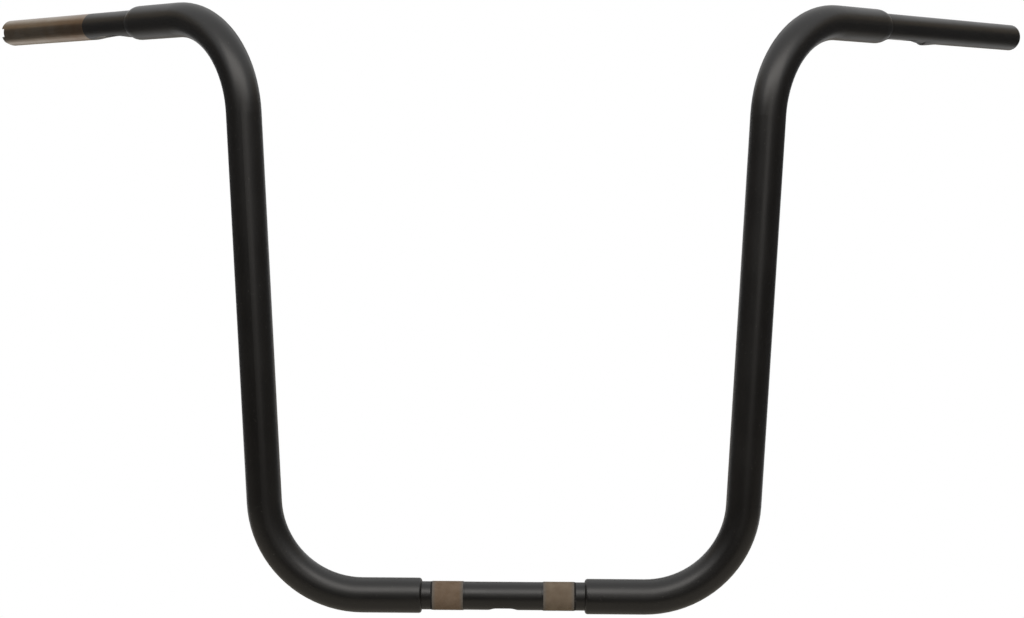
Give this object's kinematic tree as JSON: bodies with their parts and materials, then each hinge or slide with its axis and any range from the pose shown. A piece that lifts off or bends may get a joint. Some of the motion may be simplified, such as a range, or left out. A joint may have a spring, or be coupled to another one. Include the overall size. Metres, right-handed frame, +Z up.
{
  "type": "touring handlebar",
  "caption": "Tall swept-back motorbike handlebar of welded steel tube in satin black, with bare clamp bands, a wire slot underneath and a bare notched throttle end.",
  "frame": {"origin": "middle of the clamp tube's axis, halfway between the two clamp bands", "axes": "+X to the rider's left (clutch side), +Y rearward to the rider, +Z up; the risers stand in the XZ plane"},
  "size_m": [1.0304, 0.2763, 0.5522],
  "materials": {
    "powder_coated_steel": "satin black powder coat with a faint orange peel",
    "coated_clamp_steel": "satin black powder coat, masked to bare knurled steel on the clamp bands",
    "bare_throttle_steel": "oiled bare steel with a brown cast, powder coated next to the upright"
  },
  "bodies": {
    "root": {"centre_clamp_tube": "coated_clamp_steel", "throttle_side_upright": "powder_coated_steel", "clutch_side_upright": "powder_coated_steel", "throttle_control_tube": "bare_throttle_steel", "clutch_control_tube": "powder_coated_steel"}
  },
  "joints": []
}
